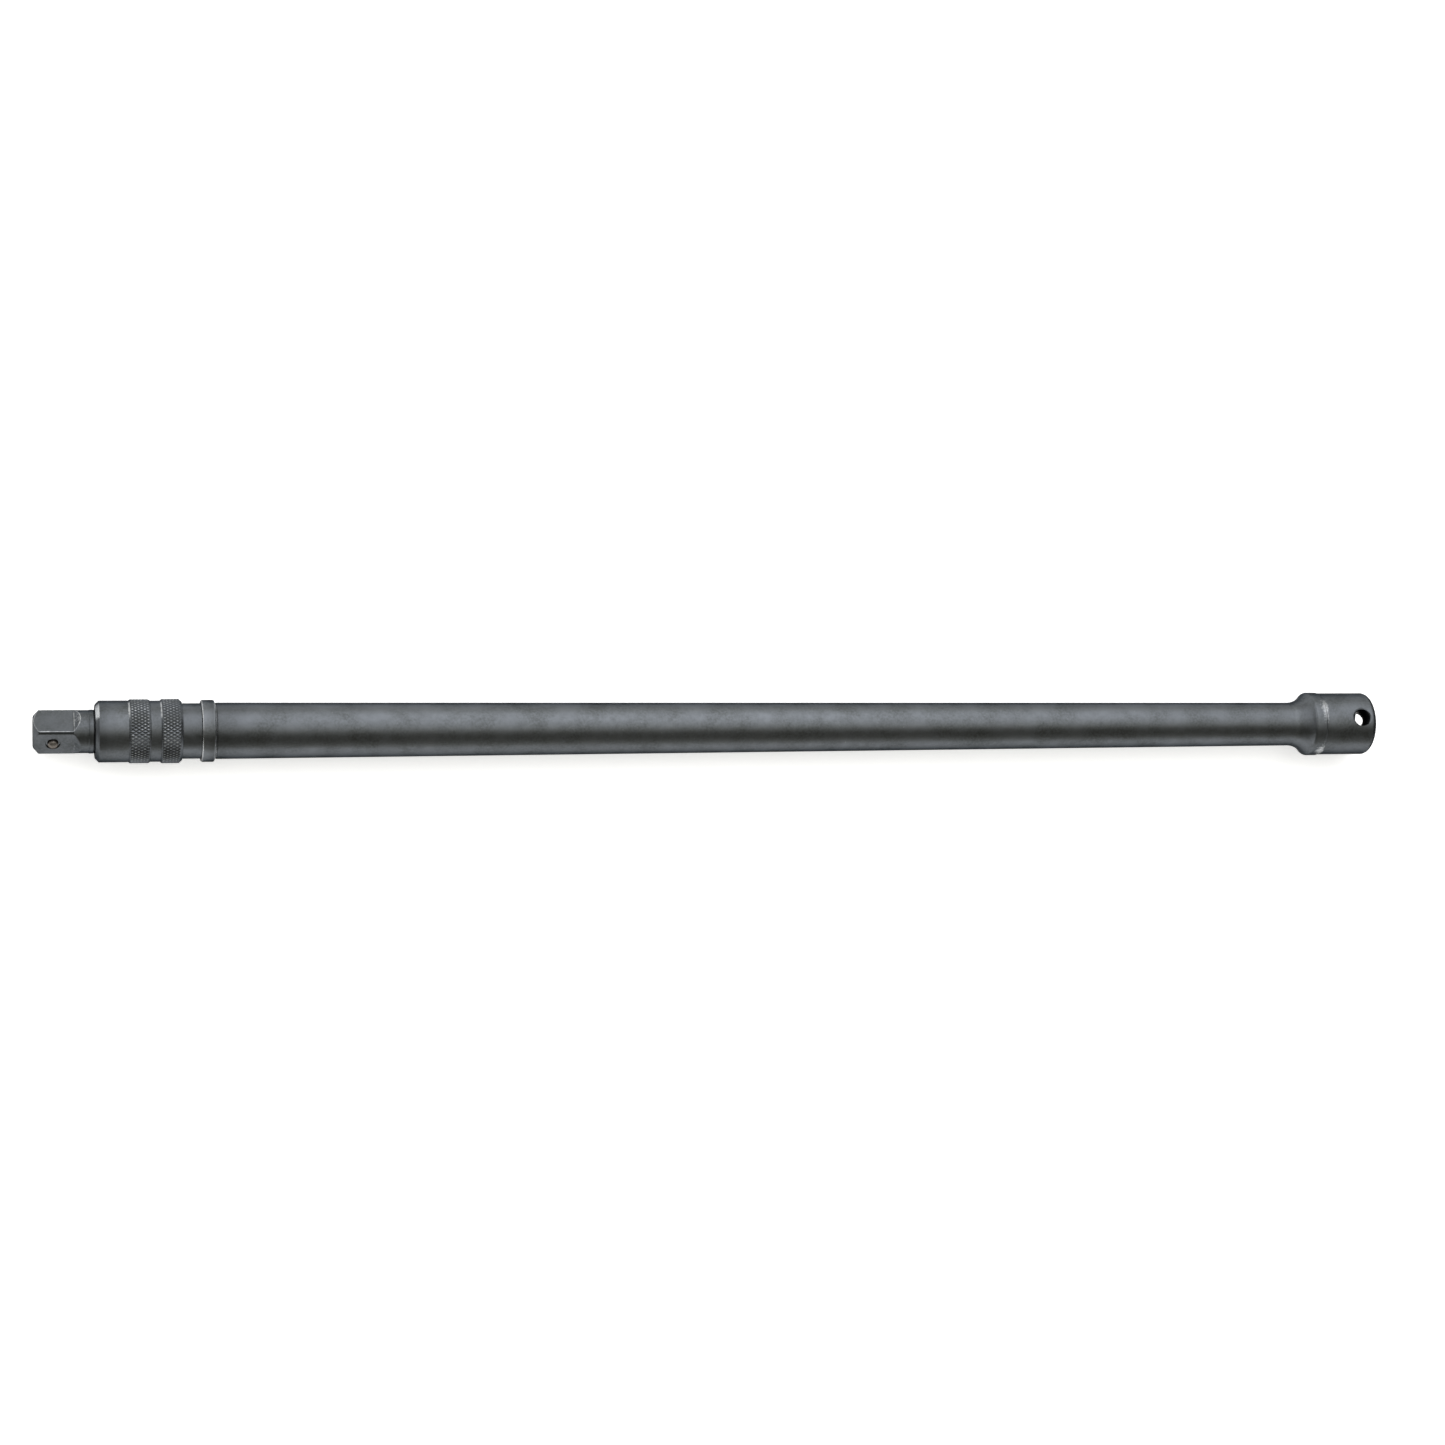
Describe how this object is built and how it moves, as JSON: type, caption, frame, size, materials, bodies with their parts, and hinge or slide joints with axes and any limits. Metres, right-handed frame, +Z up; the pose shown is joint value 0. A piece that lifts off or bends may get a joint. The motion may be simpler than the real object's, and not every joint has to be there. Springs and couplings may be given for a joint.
{
  "type": "locking extension bar",
  "caption": "Straight black steel socket extension bar: male square with a lock pin and a knurled sliding sleeve at one end, long tapered shank, female square socket with a cross hole.",
  "frame": {"origin": "centre of the male square's tip face, on the bar's axis", "axes": "+X along the bar from the male square to the female socket's mouth; +Z up, along the female head's cross hole; the lock pin points 30 degrees above -Y"},
  "size_m": [0.5588, 0.0268, 0.0268],
  "materials": {
    "bar_black_oxide": "black oxide over turned and milled steel, worn light on the edges",
    "sleeve_black_oxide": "black oxide over diamond knurled steel, worn light on the edges",
    "ring_black_oxide": "black oxide over turned steel",
    "bush_black_oxide": "black oxide",
    "bare_steel": "bare hardened steel, dull",
    "ground_steel": "ground steel",
    "spring_steel": "oiled spring steel"
  },
  "bodies": {
    "bar": {"extension_bar": "bar_black_oxide", "stop_ring": "ring_black_oxide", "front_snap_ring": "spring_steel", "bore_plug": "bar_black_oxide", "lock_pin_bush": "bush_black_oxide", "return_spring": "spring_steel", "lock_pin_spring": "spring_steel"},
    "sleeve": {"locking_sleeve": "sleeve_black_oxide", "cross_pin": "ground_steel", "control_rod": "ground_steel", "spring_washer": "ground_steel"},
    "lock_pin": {"lock_pin": "bare_steel"}
  },
  "joints": [
    {"name": "sleeve_slide", "type": "slide", "parent": "bar", "child": "sleeve", "axis": [1, 0, 0], "range_m": [0, 0.0055], "stiffness_N_per_m": 1500, "springref_m": -0.006, "deforming": ["return_spring"]},
    {"name": "lock_pin_slide", "type": "slide", "parent": "bar", "child": "lock_pin", "axis": [0, -0.866, 0.5], "range_m": [-0.0013, 0], "deforming": ["lock_pin_spring"]}
  ],
  "couplings": [
    {"joint": "lock_pin_slide", "follows": "sleeve_slide", "ratio": -0.23636}
  ]
}
